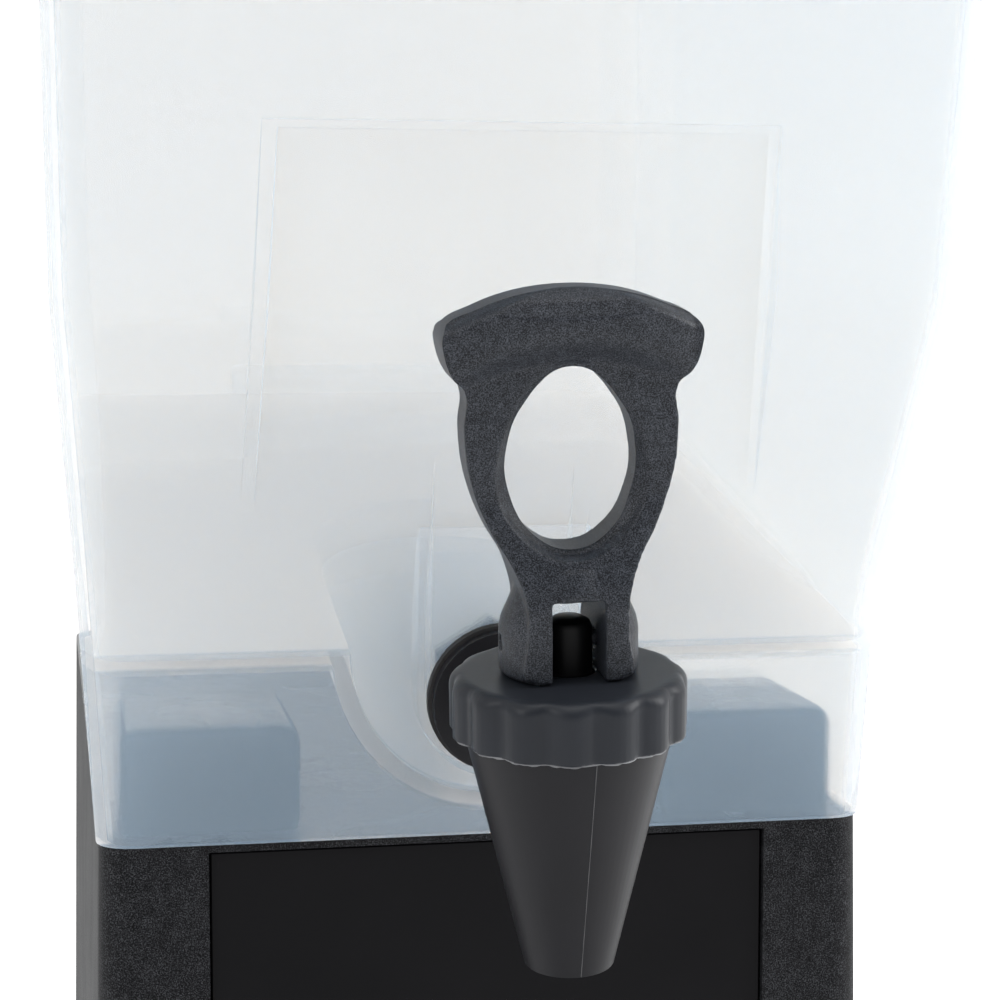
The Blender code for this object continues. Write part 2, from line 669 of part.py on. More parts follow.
HANDLE_OUTLINE = [(9.3, -5.7), (9.3, 2), (9.4, 9), (11.4, 15.2), (15.3, 22.2), (18.5, 31), (19.5, 40),
                  (19.3, 47.2), (21.5, 49.6), (23.2, 54.2), (23.3, 57.4), (22.0, 59.3), (17.5, 61.4),
                  (12, 63.4), (6, 64.6), (0, 65.0)]
HANDLE_SIDE = [(-10.2, -4.6), (-10.2, 6), (-8.9, 12), (-6.6, 18), (-4.6, 27), (-4.2, 45), (-5.6, 48.5),
               (-8.4, 54.5), (-8.4, 60.0), (-6.6, 63.0), (-3.2, 65.2), (2.4, 65.2), (4.8, 62.8), (5.2, 54),
               (4.2, 47), (3.8, 30), (4.6, 18), (8.2, 12), (8.2, -4.6)]
FINGER_HOLE = [(0, 17.6), (7.0, 20.6), (11.2, 28.2), (11.8, 36), (8.7, 44.6), (0, 51.0)]


def mirrored(points):
    """Full outline from its right half: the left half repeats it backwards."""
    left = [(-x, z) for x, z in reversed(points) if x > 0]
    return [(x * MM, z * MM) for x, z in points + left]


def make_tap_handle(mat):
    handle = outline_solid("tap_handle", mirrored(HANDLE_OUTLINE), -25 * MM, 25 * MM)
    handle.data.materials.append(mat)
    handle.matrix_world = pin_frame()
    side = side_solid("handle_side", [(y * MM, z * MM) for y, z in HANDLE_SIDE], 30 * MM)
    side.matrix_world = pin_frame()
    boolean(handle, side, "INTERSECT")
    drum = turned("handle_drum", mm_profile(
        (0, 15), (8.6, 14.5), (10.2, 9.5), (12.4, 4.5), (12.8, 2.5), (12.8, -5.1), (12.2, -5.7), (0, -5.7)),
        None, 48)
    drum.matrix_world = pin_frame()
    join(handle, drum)
    front = box("drum_flat", (-30 * MM, 30 * MM), (-60 * MM, -HEEL_FRONT), (-10 * MM, 20 * MM), world_z=True)
    front.data.transform(Matrix.Translation((0, -DEPTH_SHIFT, 0)))
    front.matrix_world = pin_frame()
    cut(handle, front)
    hole = outline_solid("finger_hole", mirrored(FINGER_HOLE), -20 * MM, 20 * MM)
    hole.matrix_world = pin_frame()
    cut(handle, hole)
    slot = box("stem_slot", (-4.85 * MM, 4.85 * MM), (-40 * MM, 40 * MM), (-12 * MM, 9.2 * MM), world_z=True)
    slot.data.transform(Matrix.Translation((0, -DEPTH_SHIFT, 0)))
    slot.matrix_world = pin_frame()
    cut(handle, slot)
    pin_hole = cross_cylinder("handle_pin_hole", PIN_R + 0.05 * MM, 20 * MM)
    pin_hole.matrix_world = pin_frame()
    cut(handle, pin_hole)
    return handle


def build():
    textured = material("black_textured", (0.022, 0.023, 0.025), 0.55)
    glossy = material("black_gloss", (0.010, 0.010, 0.012), 0.12)
    rubber = material("black_rubber", (0.015, 0.015, 0.015), 0.8)
    milky = material("milky_plastic", (0.86, 0.90, 0.93), 0.25, alpha=0.35)
    lid_black = material("lid_black", (0.020, 0.021, 0.023), 0.45)
    satin = material("satin_charcoal", (0.040, 0.043, 0.047), 0.42)
    speckled = material("speckled_charcoal", (0.050, 0.055, 0.062), 0.5)
    seal = material("seal_silicone", (0.75, 0.75, 0.72), 0.5)
    steel = material("spring_steel", (0.62, 0.63, 0.65), 0.25, metallic=1.0)
    make_base_housing(textured)
    make_front_panel(glossy)
    make_base_foot(textured)
    make_rubber_feet(rubber)
    make_drip_tray(glossy)
    make_drip_grate(textured)
    make_tank(milky)
    make_lid(lid_black)
    make_tap_body(satin)
    make_shank_hardware(rubber, satin)
    make_tap_bonnet(satin)
    make_stem_parts(speckled, seal, steel)
    make_tap_handle(speckled)


build()
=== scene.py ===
"""Looks of the drink dispenser: its materials, the fine shapes of its tap, the camera and the studio.

Metres, +Z up, the tap side faces -Y.  Shapes of the tap are written in millimetres in its own frame,
whose Z is the tap's axis and whose +Y runs back along the shank.
"""

import json
import math

import bmesh
import bpy
import numpy as np
from mathutils import Matrix, Vector


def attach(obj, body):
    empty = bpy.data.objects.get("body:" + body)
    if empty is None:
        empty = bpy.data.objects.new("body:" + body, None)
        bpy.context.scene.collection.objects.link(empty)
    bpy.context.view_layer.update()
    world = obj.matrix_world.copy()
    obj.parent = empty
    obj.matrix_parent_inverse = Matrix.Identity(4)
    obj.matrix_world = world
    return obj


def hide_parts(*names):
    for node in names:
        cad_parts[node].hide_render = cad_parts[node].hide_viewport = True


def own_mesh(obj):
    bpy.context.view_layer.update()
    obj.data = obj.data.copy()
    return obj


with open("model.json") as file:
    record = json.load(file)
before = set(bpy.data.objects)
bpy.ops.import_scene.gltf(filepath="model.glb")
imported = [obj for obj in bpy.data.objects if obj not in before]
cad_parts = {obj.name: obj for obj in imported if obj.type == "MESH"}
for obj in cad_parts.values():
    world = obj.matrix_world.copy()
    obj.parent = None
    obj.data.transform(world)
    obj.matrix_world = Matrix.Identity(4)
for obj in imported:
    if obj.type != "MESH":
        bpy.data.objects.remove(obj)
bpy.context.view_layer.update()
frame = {"nodes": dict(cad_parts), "record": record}

MM = 0.001
NODES = frame["nodes"]
JOINTS = {joint["name"]: joint for joint in frame["record"]["behaviour"]["joints"]}


# ---- shader helpers ----------------------------------------------------------------------------
class Shader:
    """A material under construction: adds nodes by type and links them by socket name."""

    def __init__(self, name):
        self.material = bpy.data.materials.new(name)
        self.material.use_nodes = True
        self.tree = self.material.node_tree
        self.tree.nodes.clear()
        self.output = self.tree.nodes.new("ShaderNodeOutputMaterial")
        self.coordinates = self.tree.nodes.new("ShaderNodeTexCoord").outputs["Object"]

    def add(self, kind, **inputs):
        """New node of a kind; an input's name has _ where the socket's has a space."""
        node = self.tree.nodes.new("ShaderNode" + kind)
        for key, value in inputs.items():
            self.set(node, key.replace("_", " "), value)
        return node

    def set(self, node, key, value):
        """Links a socket to the input, or sets the input to a plain value."""
        socket = node.inputs[key]
        if isinstance(value, bpy.types.NodeSocket):
            self.tree.links.new(value, socket)
        else:
            if isinstance(value, tuple) and len(value) == 3 and socket.type == "RGBA":
                value = (*value, 1.0)
            socket.default_value = value

    def noise(self, scale, detail=2.0, roughness=0.5):
        return self.add("TexNoise", Vector=self.coordinates, Scale=scale, Detail=detail,
                        Roughness=roughness).outputs["Fac"]

    def ramp(self, factor, stops):
        """Colour that runs through the stops, each a place from 0 to 1 and a colour."""
        node = self.add("ValToRGB", Fac=factor)
        elements = node.color_ramp.elements
        while len(elements) < len(stops):
            elements.new(0.5)
        for element, (position, color) in zip(elements, stops):
            element.position = position
            element.color = (*color, 1.0)
        return node.outputs["Color"]

    def clouds(self, factor, first, second):
        """Colour that drifts between two tones."""
        return self.ramp(factor, [(0.3, first), (0.7, second)])

    def spread(self, factor, low, high):
        """Maps a 0..1 factor to the range low..high."""
        return self.add("MapRange", Value=factor, To_Min=low, To_Max=high).outputs["Result"]

    def ramp_up(self, value, start, end):
        """0 at start and 1 at end, clamped; start may be above end."""
        return self.add("MapRange", Value=value, From_Min=start, From_Max=end).outputs["Result"]

    def maths(self, operation, first, second=0.0):
        node = self.tree.nodes.new("ShaderNodeMath")
        node.operation = operation
        self.set(node, 0, first)
        self.set(node, 1, second)
        return node.outputs["Value"]

    def axes(self, vector):
        """The X, Y and Z of a vector socket."""
        return self.add("SeparateXYZ", Vector=vector).outputs

    def normal_z(self):
        """1 on a face that looks up, 0 on an upright one and -1 on one that looks down."""
        geometry = self.tree.nodes.new("ShaderNodeNewGeometry")
        return self.axes(geometry.outputs["Normal"])["Z"]

    def blend(self, factor, first, second):
        """From one colour socket to a plain colour as the factor goes from 0 to 1."""
        node = self.tree.nodes.new("ShaderNodeMix")
        node.data_type = "RGBA"
        colors = [socket for socket in node.inputs if socket.type == "RGBA"]
        self.tree.links.new(factor, node.inputs["Factor"])
        self.tree.links.new(first, colors[0])
        colors[1].default_value = (*second, 1.0)
        return next(socket for socket in node.outputs if socket.type == "RGBA")

    def bump(self, height, distance, strength):
        return self.add("Bump", Height=height, Distance=distance, Strength=strength).outputs["Normal"]

    def mix(self, factor, first, second):
        node = self.add("MixShader", Fac=factor)
        self.tree.links.new(first, node.inputs[1])
        self.tree.links.new(second, node.inputs[2])
        return node.outputs["Shader"]

    def finish(self, surface):
        self.tree.links.new(surface, self.output.inputs["Surface"])
        return self.material


# ---- materials ---------------------------------------------------------------------------------
GRAINS_PER_PATCH = 9                   # size of a worn patch
PATCH_WEAR = 0.05                      # how much a patch adds to the grain's tips, or takes off
DARK_UP_TO, LIGHT_FROM = 0.92, 1.14    # where the tips turn light, before the share of flecks
HANDLING_SCALE = 45                    # scale of the patches that handling leaves ...
HANDLED_SMOOTHER = 0.05                # ... and how far they change the roughness
HANDLED_ROUGHER = 0.07
LEVEL_FROM, LEVEL_FULL = 0.85, 0.97    # upward normals that count as level
PAINTED_SHEEN = (0.045, 0.050, 0.056)       # painted sheen: lighter tone of a polished level face, for light from above ...
PAINTED_SHEEN_SHARE = 0.5                   # ... how much of that painted sheen shows ...
POLISHED_SMOOTHER = 0.28               # ... how much less rough the face is ...
POLISHED_SPECULAR = 0.75               # ... and how strongly it reflects


def grained_plastic(name, dark, light, roughness, grain, fleck_share, specular, bump, polished_with_painted_sheen=False):
    """Spark-eroded black plastic: a fine, unevenly worn grain whose tips catch the light.  Where it is
    polished, its level upper faces are smoother and shinier, and they carry a painted sheen: a lighter
    tone that stands in for light from above."""
    s = Shader(name)
    fine = s.noise(grain, detail=4.0, roughness=0.75)
    wear = s.spread(s.noise(grain / GRAINS_PER_PATCH), -PATCH_WEAR, PATCH_WEAR)
    tone = s.ramp(s.maths("ADD", fine, wear),
                  [(0.0, dark), (DARK_UP_TO - fleck_share, dark), (LIGHT_FROM - fleck_share, light)])
    rough = s.spread(s.noise(HANDLING_SCALE), roughness - HANDLED_SMOOTHER, roughness + HANDLED_ROUGHER)
    if polished_with_painted_sheen:
        level = s.ramp_up(s.normal_z(), LEVEL_FROM, LEVEL_FULL)
        # painted sheen: level upward faces are blended towards a lighter tone that stands in for light
        # from above
        tone = s.blend(s.maths("MULTIPLY", level, PAINTED_SHEEN_SHARE), tone, PAINTED_SHEEN)
        rough = s.maths("SUBTRACT", rough, s.maths("MULTIPLY", level, POLISHED_SMOOTHER))
        specular = s.spread(level, specular, POLISHED_SPECULAR)
    bsdf = s.add("BsdfPrincipled", Base_Color=tone, Roughness=rough, Specular_IOR_Level=specular,
                 Normal=s.bump(fine, bump, strength=0.9))
    return s.finish(bsdf.outputs["BSDF"])


CLOUD_SCALE = 60                       # scale of the cloudy tone of satin plastic ...
GLOSS_CHANGE = 0.06                    # ... and how far the roughness changes with it
SKIN_SCALE = 900                       # scale of its skin's texture ...
SKIN_DEPTH = 0.012 * MM                # ... and the depth


def satin_plastic(name, color, roughness, specular=0.5, mottle=0.12):
    """Smooth moulded plastic with faint cloudy tone and a hint of handling wear in its gloss."""
    s = Shader(name)
    cloud = s.noise(CLOUD_SCALE, detail=3.0)
    darker = tuple(channel * (1 - mottle) for channel in color)
    lighter = tuple(channel * (1 + mottle) for channel in color)
    bsdf = s.add("BsdfPrincipled", Base_Color=s.clouds(cloud, darker, lighter),
                 Roughness=s.spread(cloud, roughness - GLOSS_CHANGE, roughness + GLOSS_CHANGE),
                 Specular_IOR_Level=specular,
                 Normal=s.bump(s.noise(SKIN_SCALE), SKIN_DEPTH, strength=0.6))
    return s.finish(bsdf.outputs["BSDF"])


def gloss_panel(name):
    """Black gloss with a few smears and a face that is not quite flat."""
    s = Shader(name)
    smear = s.noise(22, detail=3.0)
    tone = s.clouds(smear, (0.0036, 0.0036, 0.0042), (0.0052, 0.0050, 0.0058))
    bsdf = s.add("BsdfPrincipled", Base_Color=tone, Roughness=s.spread(smear, 0.10, 0.22),
                 Specular_IOR_Level=0.045, Normal=s.bump(s.noise(14), 0.03 * MM, strength=0.4))
    return s.finish(bsdf.outputs["BSDF"])


def spring_wire(name):
    """Drawn stainless steel."""
    s = Shader(name)
    tone = s.clouds(s.noise(300), (0.52, 0.53, 0.55), (0.68, 0.69, 0.70))
    bsdf = s.add("BsdfPrincipled", Base_Color=tone, Metallic=1.0, Roughness=0.22,
                 Normal=s.bump(s.noise(700), 0.01 * MM, strength=0.4))
    return s.finish(bsdf.outputs["BSDF"])


FLOOR_REAR = 0.318                     # height of the tank's floor where it is highest
FRONT_WALL_BACK = -0.0615              # depth just behind the tank's front wall
BASIN_HALF = 0.0365                    # just past half the basin's width
BASIN_SHARE = 0.70                     # how far the basin is towards the floor's density
CLEAR_TINT = (1.0, 0.943, 0.872)       # what a face of the tank's wall lets through
THIN_TONES = ((0.56, 0.755, 0.98), (0.60, 0.79, 1.0))    # haze of the thin walls
DENSE_TONE = (0.96, 0.965, 0.975)      # haze of the floor and the basin
STRAIGHT_SHARE = 0.6                   # share of what gets through that isn't blurred
FLAT_FROM, FLAT_FULL = 0.80, 0.96      # normals, up or down, that count as level
DENSE_EDGE = 0.002                     # width over which the dense part starts
WALL_HAZE, FLOOR_HAZE = 0.26, 0.74     # share of the light that a face scatters
WALL_GLOW, FLOOR_GLOW = 0.50, 0.22     # share of the haze that goes on through the face


def milky_plastic(name):
    """Translucent polypropylene.  Each face of a wall scatters a bluish haze and lets the rest through,
    warmer and partly blurred.  The level floor and the basin are denser and whiter than the walls."""
    s = Shader(name)
    ripple = s.bump(s.noise(28), 0.06 * MM, strength=0.25)
    blurred = s.add("BsdfGlass", Color=CLEAR_TINT, Roughness=0.12, IOR=1.18, Normal=ripple)
    straight = s.add("BsdfTransparent", Color=CLEAR_TINT)
    clear = s.mix(STRAIGHT_SHARE, blurred.outputs["BSDF"], straight.outputs["BSDF"])
    place = s.axes(s.coordinates)
    level = s.ramp_up(s.maths("ABSOLUTE", s.normal_z()), FLAT_FROM, FLAT_FULL)
    low = s.ramp_up(place["Z"], FLOOR_REAR + 2 * DENSE_EDGE, FLOOR_REAR)
    inside = s.ramp_up(place["Y"], FRONT_WALL_BACK, FRONT_WALL_BACK + DENSE_EDGE)
    basin = s.ramp_up(s.maths("ABSOLUTE", place["X"]), BASIN_HALF + DENSE_EDGE, BASIN_HALF)
    dense = s.maths("MULTIPLY", s.maths("MULTIPLY", low, inside),
                    s.maths("MAXIMUM", level, s.maths("MULTIPLY", BASIN_SHARE, basin)))
    tone = s.blend(dense, s.clouds(s.noise(9), *THIN_TONES), DENSE_TONE)
    haze = s.add("BsdfDiffuse", Color=tone)
    glow = s.add("BsdfTranslucent", Color=tone)
    milk = s.mix(s.spread(dense, WALL_GLOW, FLOOR_GLOW), haze.outputs["BSDF"], glow.outputs["BSDF"])
    return s.finish(s.mix(s.spread(dense, WALL_HAZE, FLOOR_HAZE), clear, milk))


BASE_GRAIN = dict(dark=(0.0022, 0.0023, 0.0028), light=(0.060, 0.062, 0.068), roughness=0.55, grain=3300,
                  fleck_share=0.44, specular=0.06, bump=0.05 * MM)
BLACK_GRAIN = grained_plastic("black_grain", **BASE_GRAIN)
# its level upper faces are polished and carry a painted sheen
HOUSING_GRAIN = grained_plastic("housing_grain", **BASE_GRAIN, polished_with_painted_sheen=True)
HANDLE_GRAIN = grained_plastic("handle_grain", dark=(0.0030, 0.0036, 0.0052), light=(0.060, 0.067, 0.081),
                               roughness=0.40, grain=4300, fleck_share=0.47, specular=0.17, bump=0.04 * MM)
COLLAR_SATIN = satin_plastic("collar_satin", (0.0115, 0.0132, 0.0170), roughness=0.38, specular=0.15)
SPOUT_SATIN = satin_plastic("spout_satin", (0.0066, 0.0066, 0.0082), roughness=0.42, specular=0.14)
STEM_SATIN = satin_plastic("stem_satin", (0.0025, 0.0026, 0.0030), roughness=0.45, specular=0.12)
LID_SATIN = satin_plastic("lid_satin", (0.014, 0.0145, 0.016), roughness=0.42)
PANEL_GLOSS = gloss_panel("panel_gloss")
RUBBER = satin_plastic("rubber_black", (0.012, 0.012, 0.013), roughness=0.75, mottle=0.3)
WASHER_RUBBER = satin_plastic("washer_rubber", (0.016, 0.0155, 0.016), roughness=0.7, specular=0.25,
                              mottle=0.3)
SILICONE = satin_plastic("silicone", (0.72, 0.72, 0.69), roughness=0.5)
FLASH_GREY = satin_plastic("flash_grey", (0.12, 0.123, 0.13), roughness=0.45, mottle=0.5)
SEAM_GREY = satin_plastic("seam_grey", (0.035, 0.036, 0.039), roughness=0.40)
STEEL = spring_wire("spring_wire")
MILKY = milky_plastic("milky")

NODE_MATERIALS = {
    "base_housing": HOUSING_GRAIN, "base_foot": BLACK_GRAIN, "drip_grate": BLACK_GRAIN,
    "front_panel": PANEL_GLOSS, "drip_tray": PANEL_GLOSS, "tank": MILKY, "lid": LID_SATIN,
    "tap_body": SPOUT_SATIN, "tap_bonnet": COLLAR_SATIN, "tap_shank_nut": SPOUT_SATIN,
    "tap_handle": HANDLE_GRAIN, "tap_stem": STEM_SATIN, "tap_pin": HANDLE_GRAIN,
    "tap_outer_washer": WASHER_RUBBER, "tap_inner_washer": RUBBER, "tap_seat_cup": SILICONE,
    "tap_spring": STEEL,
    **{"rubber_foot_%d" % number: RUBBER for number in range(1, 5)},
}

# rounding of the moulded edges of each CAD node, in millimetres
EDGE_ROUNDING = {"base_housing": 0.5, "base_foot": 0.8, "drip_grate": 0.35, "drip_tray": 0.35, "lid": 0.7,
                 "front_panel": 0.25, "tap_body": 0.25, "tap_stem": 0.2, "tap_outer_washer": 0.3}
ROUNDED_ABOVE = 40       # degrees between two faces whose edge is rounded
CREASED_ABOVE = 28       # degrees between two faces that shade apart on a plain moulding ...
SOFT_CREASE = 70         # ... on one whose skin is already rounded ...
COIL_CREASE = 40         # ... and on the spring
WELD_GAP = 0.002         # millimetres


def shade(obj, material, crease_angle=CREASED_ABOVE):
    """Gives a piece its material and smooth faces that still break across its real edges."""
    mesh = obj.data
    for name in ("custom_normal", "sharp_edge", "sharp_face"):
        if name in mesh.attributes:
            mesh.attributes.remove(mesh.attributes[name])
    mesh.materials.clear()
    mesh.materials.append(material)
    for polygon in mesh.polygons:
        polygon.use_smooth = True
    weld = obj.modifiers.new("weld", "WELD")
    weld.merge_threshold = WELD_GAP * MM
    if obj.name in EDGE_ROUNDING:
        edge = obj.modifiers.new("edge", "BEVEL")
        edge.width = EDGE_ROUNDING[obj.name] * MM
        edge.segments = 2
        edge.limit_method = "ANGLE"
        edge.angle_limit = math.radians(ROUNDED_ABOVE)
    crease = obj.modifiers.new("crease", "EDGE_SPLIT")
    crease.split_angle = math.radians(crease_angle)
    obj.modifiers.new("flats", "WEIGHTED_NORMAL")


for node_name, node_material in NODE_MATERIALS.items():
    shade(NODES[node_name], node_material)


# ---- making pieces, and the tap's own frame ----------------------------------------------------
PIN_HEIGHT = 32.4        # pin above the shank's axis
STEM_AXIS = Vector(JOINTS["tap_stem_lift"]["axis"])
PIN_AXIS = Vector(JOINTS["tap_handle_tilt"]["axis"])
PIN_PLACE = Vector(JOINTS["tap_handle_tilt"]["pos_m"])


def tap_matrix(height=0.0):
    """World matrix of the tap's frame, moved up its axis by a height in millimetres."""
    turn = Matrix((PIN_AXIS, STEM_AXIS.cross(PIN_AXIS), STEM_AXIS)).transposed().to_4x4()
    origin = PIN_PLACE + STEM_AXIS * (height - PIN_HEIGHT) * MM
    return Matrix.Translation(origin) @ turn


def link_object(name, data):
    """New object in the scene that shows a mesh, a light or a camera."""
    obj = bpy.data.objects.new(name, data)
    bpy.context.scene.collection.objects.link(obj)
    return obj


def mesh_object(name, bm):
    """New object made from a bmesh, which is used up."""
    mesh = bpy.data.meshes.new(name)
    bm.to_mesh(mesh)
    bm.free()
    return link_object(name, mesh)


def apply_modifiers(obj):
    graph = bpy.context.evaluated_depsgraph_get()
    mesh = bpy.data.meshes.new_from_object(obj.evaluated_get(graph))
    obj.modifiers.clear()
    obj.data = mesh


def ease(obj, passes):
    """Evens out the bends of a skin."""
    smooth = obj.modifiers.new("ease", "SMOOTH")
    smooth.iterations = passes


def copy_remeshed(name, node, voxel, cutters=()):
    """A node's shape less the cutters, rebuilt as an even skin with its edges rounded."""
    piece = link_object(name, NODES[node].data.copy())
    for cutter in cutters:
        cut = piece.modifiers.new("cut", "BOOLEAN")
        cut.operation = "DIFFERENCE"
        cut.object = cutter
    skin = piece.modifiers.new("skin", "REMESH")
    skin.mode = "VOXEL"
    skin.voxel_size = voxel * MM
    ease(piece, passes=3)
    apply_modifiers(piece)
    for cutter in cutters:
        bpy.data.objects.remove(cutter)
    return piece


def move_vertices(obj, matrix, rule):
    """Applies rule(x, y, z), in millimetres of the frame given by matrix, to every vertex."""
    mesh = obj.data
    flat = np.empty(len(mesh.vertices) * 3)
    mesh.vertices.foreach_get("co", flat)
    to_world = np.array(matrix)
    to_local = np.linalg.inv(to_world)
    local = (flat.reshape(-1, 3) @ to_local[:3, :3].T + to_local[:3, 3]) / MM
    moved = np.stack(rule(*local.T), axis=1) * MM
    mesh.vertices.foreach_set("co", (moved @ to_world[:3, :3].T + to_world[:3, 3]).ravel())
    mesh.update()


# ---- handle ------------------------------------------------------------------------------------
# Heights are above the pin's axis.  Front faces are at negative depths.
BAR_HALF = 22.0          # half length of the grip bar's face, short of its rounded ends
PLATE_FRONT = -4.2       # front face of the ring plate
BAR_FRONT = -8.4         # front face of the grip bar
BAR_BACK = 5.2
BAR_TOP = 65.0
CROWN = 2.0              # depth of the rounding along the top of the bar ...
CROWN_ROUNDNESS = 0.75   # ... where 1 is a full half round
ARC_DROP = 6.0           # how much lower the top is at the bar's ends
FACE_SWEEP = 2.4         # how far the bar's face runs back at its ends
FACE_FOOT = 58.4         # lower edge of that face at the middle ...
FACE_FOOT_DROP = 6.6     # ... and how much lower it is at the ends
HOLLOW_FOOT = 51.2       # lower edge of the hollow under the face, likewise
HOLLOW_FOOT_DROP = 5.2
HOLLOW_CURVE = 1.5       # a larger number is a deeper hollow
CARVED_FROM = 42.0       # the bar is carved above this height
HOLE_CENTRE = 34.3       # centre of the finger hole
HOLE_HALF = (11.6, 16.7)
HOLE_SIDE = [(0, 17.6), (3.7, 18.4), (7.0, 20.9), (9.7, 24.7), (11.4, 29.4), (11.8, 33.8), (11.2, 38.4),
             (9.2, 43.7), (5.3, 48.7), (0, 51.0)]    # its egg shape, from the bottom up one side
CUTTER_REACH = 20
DISH_AT = 22.0           # degrees below level where the dished rim is widest ...
DISH_SPREAD = 40.0       # ... and how far it spreads from there
RIM_WIDTH = 0.04         # width of the rim as a share of the hole's half size ...
DISH_WIDTH = 0.17        # ... and what the dish adds to it
RIM_START = 1.02         # inner edge of the rim, on the same scale
DISH_SLOPE = 13.0        # how deep the rim sinks for a width of a whole half size ...
DISH_DEPTH = 2.4         # ... and the deepest that it may
DISHED_FROM, DISHED_TO = 14.0, 52.0


def carve_handle(x, y, z):
    """Bar with a crowned top, a face swept back at its ends and a hollow scooped beneath it, and a
    finger hole whose lower rim is dished."""
    across = np.clip(np.abs(x) / BAR_HALF, 0, 1)
    face_foot = FACE_FOOT - FACE_FOOT_DROP * across ** 2
    hollow_foot = HOLLOW_FOOT - HOLLOW_FOOT_DROP * across ** 2
    rise = np.clip((z - hollow_foot) / (face_foot - hollow_foot), 0, 1)
    scoop = rise ** HOLLOW_CURVE * (HOLLOW_CURVE + 1 - HOLLOW_CURVE * rise)
    face = BAR_FRONT + FACE_SWEEP * across ** 3
    hollow = PLATE_FRONT + (face - PLATE_FRONT) * scoop
    crown = np.clip((z - (BAR_TOP - CROWN) + ARC_DROP * across ** 2) / CROWN, 0, 1)
    rounded = np.sqrt(1 - CROWN_ROUNDNESS * crown ** 2)
    front = np.where(crown > 0, np.maximum(hollow, face * rounded), hollow)
    y = np.where((z > CARVED_FROM) & (y < front), front, y)
    back = BAR_BACK * rounded
    y = np.where((crown > 0) & (y > back), back, y)

    radius = np.hypot(x / HOLE_HALF[0], (z - HOLE_CENTRE) / HOLE_HALF[1])
    below = np.degrees(np.arctan2(HOLE_CENTRE - z, np.abs(x)))
    width = RIM_WIDTH + DISH_WIDTH * np.exp(-((below - DISH_AT) / DISH_SPREAD) ** 2)
    inward = np.clip((RIM_START + width - radius) / width, 0, 1)
    dished = PLATE_FRONT + inward * np.minimum(width * DISH_SLOPE, DISH_DEPTH)
    rim = (z > DISHED_FROM) & (z < DISHED_TO) & (y < dished) & (inward > 0)
    return x, np.where(rim, dished, y), z


def smooth_loop(points, steps=4):
    """Closed Catmull-Rom curve through the points, in that many steps between each two."""
    count = len(points)
    line = []
    for i in range(count):
        near = [points[(i + k) % count] for k in (-1, 0, 1, 2)]
        for step in range(steps):
            t = step / steps
            weights = ((2 - t) * t * t - t, (3 * t - 5) * t * t + 2, (4 - 3 * t) * t * t + t,
                       (t - 1) * t * t)
            line.append(tuple(sum(w * p[axis] for w, p in zip(weights, near)) / 2 for axis in (0, 1)))
    return line


def hole_cutter():
    """Smooth egg-shaped plug that trues up the finger hole."""
    line = smooth_loop(HOLE_SIDE + [(-x, z) for x, z in HOLE_SIDE[-2:0:-1]])
    bm = bmesh.new()
    front, back = [[bm.verts.new((x * MM, y * MM, z * MM)) for x, z in line]
                   for y in (-CUTTER_REACH, CUTTER_REACH)]
    for i in range(len(line)):
        n = (i + 1) % len(line)
        bm.faces.new((front[i], front[n], back[n], back[i]))
    bm.faces.new(list(reversed(front)))
    bm.faces.new(back)
    bmesh.ops.recalc_face_normals(bm, faces=bm.faces[:])
    cutter = mesh_object("hole_cutter", bm)
    cutter.matrix_world = tap_matrix(PIN_HEIGHT)
    return cutter


def make_handle():
    handle = copy_remeshed("grip_handle", "tap_handle", voxel=0.34, cutters=[hole_cutter()])
    move_vertices(handle, tap_matrix(PIN_HEIGHT), carve_handle)
    ease(handle, passes=2)
    apply_modifiers(handle)
    shade(handle, HANDLE_GRAIN, SOFT_CREASE)
    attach(handle, "handle")
    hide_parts("tap_handle")


# ---- bonnet, with its moulding flash -----------------------------------------------------------
BONNET_RADIUS = 22.1
BONNET_BOTTOM = 15.2
FLUTES = 15
FLUTE_DEPTH = 1.4
FLUTE_TURN = math.radians(-4.7)
FLASH_STEPS = 12         # along each flute
FLASH_INSET = 0.9        # from the ribs' tips in to the flash
FLASH_FOLLOW = 0.9       # how closely the flash follows the flutes
FLASH_LIFT = 0.05
FLASH_WAVES = ((0.09, 37, 0.0), (0.06, 71, 1.3))    # its raggedness: height, waves in a turn, phase
FLASH_SECTION = [(0.50, 0.10), (0.58, -0.15), (0.30, -0.38), (-0.6, -0.30), (-0.6, 0.25)]    # out, up


def make_bonnet():
    bonnet = copy_remeshed("fluted_bonnet", "tap_bonnet", voxel=0.32)
    shade(bonnet, COLLAR_SATIN, SOFT_CREASE)
    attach(bonnet, "tank")
    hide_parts("tap_bonnet")


def sweep_ring(name, centre_line, section):
    """Closed tube: section points (out, up) are added to each point (radius, angle, height) of a ring."""
    bm = bmesh.new()
    rings = []
    for radius, angle, height in centre_line:
        ring = []
        for out, up in section:
            reach = (radius + out) * MM
            ring.append(bm.verts.new((reach * math.cos(angle), reach * math.sin(angle),
                                      (height + up) * MM)))
        rings.append(ring)
    for ring, after in zip(rings, rings[1:] + rings[:1]):
        for k in range(len(section)):
            n = (k + 1) % len(section)
            bm.faces.new((ring[k], after[k], after[n], ring[n]))
    bmesh.ops.recalc_face_normals(bm, faces=bm.faces[:])
    return mesh_object(name, bm)


def make_flash():
    """Thin, pale, slightly ragged edge that runs round under the bonnet's ribs."""
    count = FLUTES * FLASH_STEPS
    line = []
    for i in range(count):
        angle = 2 * math.pi * i / count
        dip = FLUTE_DEPTH * (1 - abs(math.cos((angle - FLUTE_TURN) * FLUTES / 2)))
        ragged = sum(size * math.sin(angle * waves + phase) for size, waves, phase in FLASH_WAVES)
        line.append((BONNET_RADIUS - FLASH_INSET - dip * FLASH_FOLLOW, angle,
                     BONNET_BOTTOM + FLASH_LIFT + ragged))
    flash = sweep_ring("bonnet_flash", line, FLASH_SECTION)
    flash.matrix_world = tap_matrix()
    shade(flash, FLASH_GREY)
    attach(flash, "tank")


